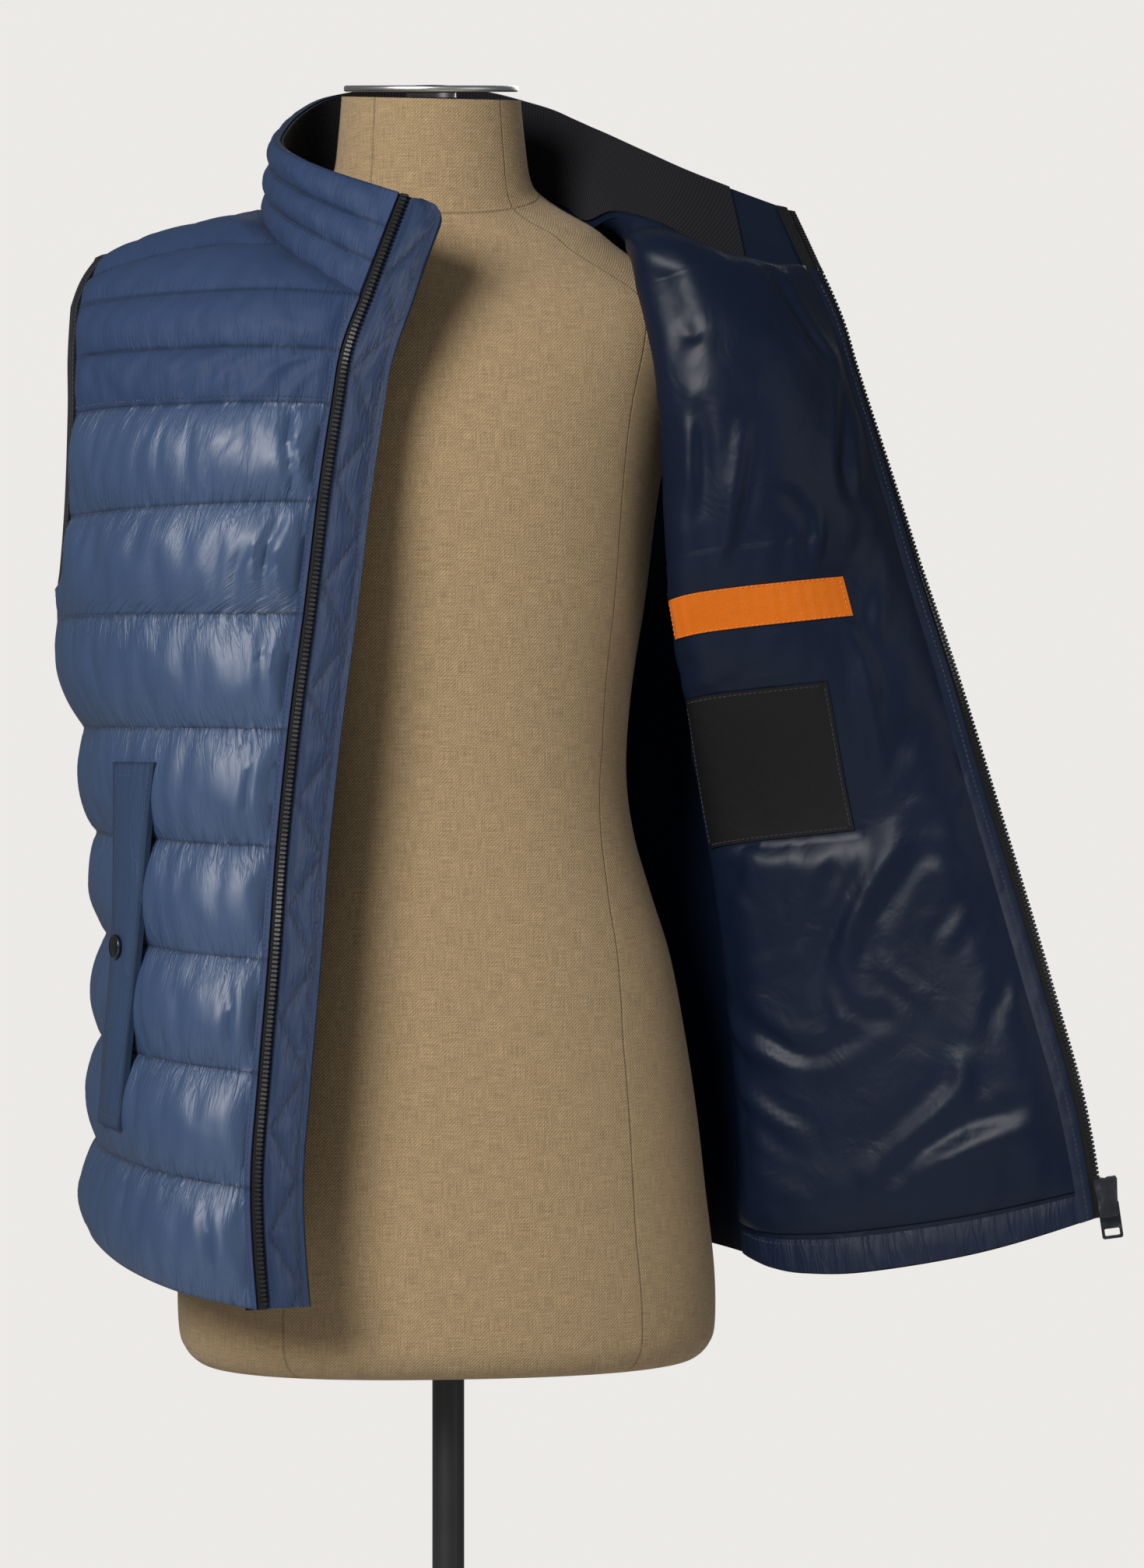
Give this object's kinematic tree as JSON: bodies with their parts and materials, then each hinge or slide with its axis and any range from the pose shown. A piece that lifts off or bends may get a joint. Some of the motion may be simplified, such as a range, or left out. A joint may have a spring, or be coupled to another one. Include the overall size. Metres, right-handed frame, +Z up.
{
  "type": "quilted vest on dress form",
  "caption": "Navy padded vest with horizontal quilting and a stand collar, one front thrown open, on a linen dress form with a pole stand.",
  "frame": {"origin": "middle of the base plate's underside, on the floor", "axes": "+Z up along the pole, -Y the front of the dress form, -X the wearer's right"},
  "size_m": [0.6663, 0.36, 1.5751],
  "materials": {
    "linen": "coarse woven linen, matte",
    "brushed_cap": "brushed",
    "black_metal": "satin black",
    "shell": "padded nylon, glossy below the yoke",
    "guard": "matte nylon",
    "lining": "smooth satin lining",
    "knit": "matte knit",
    "zip": "zip tape with moulded teeth",
    "gunmetal": "dark gunmetal",
    "orange": "herringbone tape",
    "label": "woven satin, plain"
  },
  "bodies": {
    "stand_and_vest": {"form_body": "linen", "neck_cap": "brushed_cap", "pole": "black_metal", "base_plate": "black_metal", "right_front": "shell", "left_front": "shell", "back": "shell", "collar": "shell", "collar_facing": "knit", "right_armhole_binding": "knit", "left_armhole_binding": "knit", "right_zip_tape": "zip", "left_zip_tape": "zip", "zip_slider": "gunmetal", "windguard": "guard", "right_pocket_welt": "shell", "left_pocket_welt": "shell", "right_snap": "gunmetal", "left_snap": "gunmetal", "left_lining": "lining", "zip_facing": "shell", "hem_facing": "shell", "pocket_tape": "orange", "label": "label"},
    "pull": {"zip_pull": "gunmetal"}
  },
  "joints": [
    {"name": "pull_hinge", "type": "hinge", "parent": "stand_and_vest", "child": "pull", "pos_m": [0.40535, -0.1104, 0.85052], "axis": [0.9499, -0.2777, 0.1437], "range_deg": [-3, 150]}
  ]
}
